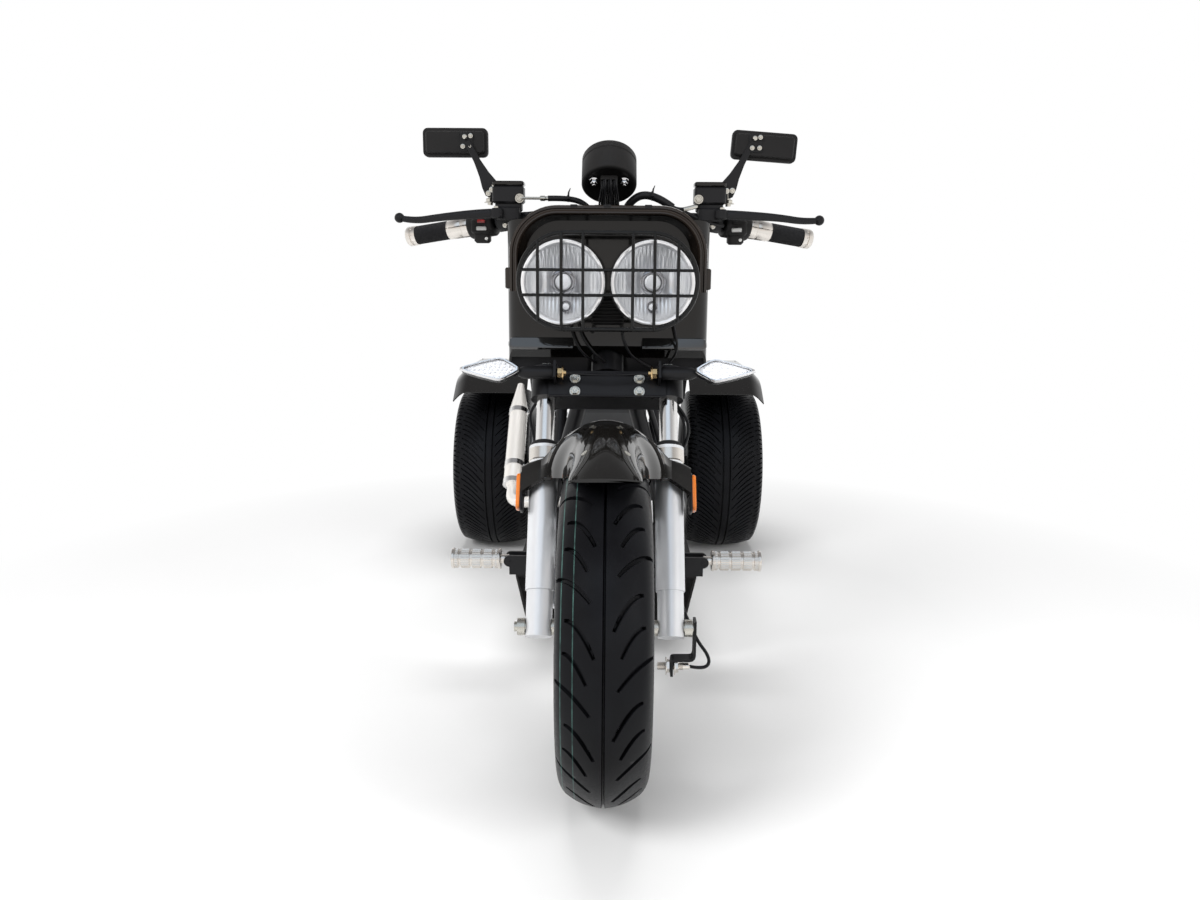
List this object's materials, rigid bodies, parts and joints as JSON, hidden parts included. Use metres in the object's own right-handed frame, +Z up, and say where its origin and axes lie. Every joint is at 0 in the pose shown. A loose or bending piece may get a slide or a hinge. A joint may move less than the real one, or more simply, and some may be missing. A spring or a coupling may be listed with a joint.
{
  "type": "three-wheeled scooter",
  "caption": "Step-through motor scooter with one steered front wheel and a pair of wide rear wheels, twin guarded round headlamps, wide handlebar and folding foot pegs.",
  "frame": {"origin": "centre of the footprint box on the floor, between the wheels", "axes": "+Z up, -Y the way it drives, +X to the rider's left"},
  "size_m": [0.8402, 1.8098, 1.033],
  "materials": {
    "frame_black": "satin black paint",
    "black_plastic": "matt black plastic",
    "black_gloss": "gloss black paint on plastic",
    "reflector_chrome": "bright",
    "clear_lens": "clear",
    "guard_black": "satin black wire",
    "seat_cover": "black grained vinyl",
    "cast_alloy": "cast",
    "fork_alloy": "satin silver",
    "polished_steel": "polished",
    "zinc_steel": "zinc plated",
    "red_lens": "red lens",
    "amber": "amber reflector",
    "grip_rubber": "ribbed",
    "nickel": "nickel",
    "mirror_face": "mirror",
    "dial": "clear over a dark dial",
    "tyre": "black",
    "wheel_alloy": "machined",
    "shock_steel": "sprung steel"
  },
  "bodies": {
    "chassis": {"main_frame": "frame_black", "floor_pan": "black_plastic", "leg_shield": "black_gloss", "headlamp_cowl": "black_gloss", "headlamp_bowls": "reflector_chrome", "headlamp_lenses": "clear_lens", "lamp_guard": "guard_black", "seat_base": "black_plastic", "seat_cushion": "seat_cover", "engine_block": "cast_alloy", "rear_axle_housing": "frame_black", "rear_shocks": "shock_steel", "rear_fenders": "black_gloss", "tail_lamp": "red_lens", "exhaust": "polished_steel"},
    "steering": {"steering_stem": "frame_black", "signal_stalks": "black_plastic", "signal_lenses": "clear_lens", "fork_tubes": "polished_steel", "fork_legs": "fork_alloy", "front_axle": "zinc_steel", "front_fender": "black_gloss", "fender_reflectors": "amber", "front_caliper": "cast_alloy", "speed_sensor": "zinc_steel", "handlebar": "polished_steel", "grip_rubbers": "grip_rubber", "grip_collars": "nickel", "brake_levers": "frame_black", "master_cylinders": "frame_black", "switch_housings": "black_plastic", "mirror_arms": "frame_black", "mirror_shells": "black_plastic", "mirror_glasses": "mirror_face", "gauge_housing": "black_plastic", "gauge_face": "dial"},
    "front_wheel": {"front_tyre": "tyre", "front_rim": "wheel_alloy", "front_disc": "zinc_steel"},
    "rear_wheel_left": {"rear_tyre_left": "tyre", "rear_rim_left": "wheel_alloy"},
    "rear_wheel_right": {"rear_tyre_right": "tyre", "rear_rim_right": "wheel_alloy"},
    "left_peg": {"peg_left": "nickel"},
    "right_peg": {"peg_right": "nickel"}
  },
  "joints": [
    {"name": "steering_turn", "type": "hinge", "parent": "chassis", "child": "steering", "pos_m": [0, -0.61609, 0.237], "axis": [0, 0.5, 0.866], "range_deg": [-38, 38]},
    {"name": "front_wheel_spin", "type": "hinge", "parent": "steering", "child": "front_wheel", "pos_m": [0, -0.649, 0.256], "axis": [1, 0, 0], "continuous": true},
    {"name": "rear_wheel_left_spin", "type": "hinge", "parent": "chassis", "child": "rear_wheel_left", "pos_m": [0.3175, 0.676, 0.229], "axis": [1, 0, 0], "continuous": true},
    {"name": "rear_wheel_right_spin", "type": "hinge", "parent": "chassis", "child": "rear_wheel_right", "pos_m": [-0.3175, 0.676, 0.229], "axis": [1, 0, 0], "continuous": true},
    {"name": "left_peg_fold", "type": "hinge", "parent": "chassis", "child": "left_peg", "pos_m": [0.19, -0.213, 0.224], "axis": [0, -1, 0], "range_deg": [0, 80]},
    {"name": "right_peg_fold", "type": "hinge", "parent": "chassis", "child": "right_peg", "pos_m": [-0.19, -0.213, 0.224], "axis": [0, 1, 0], "range_deg": [0, 80]}
  ]
}
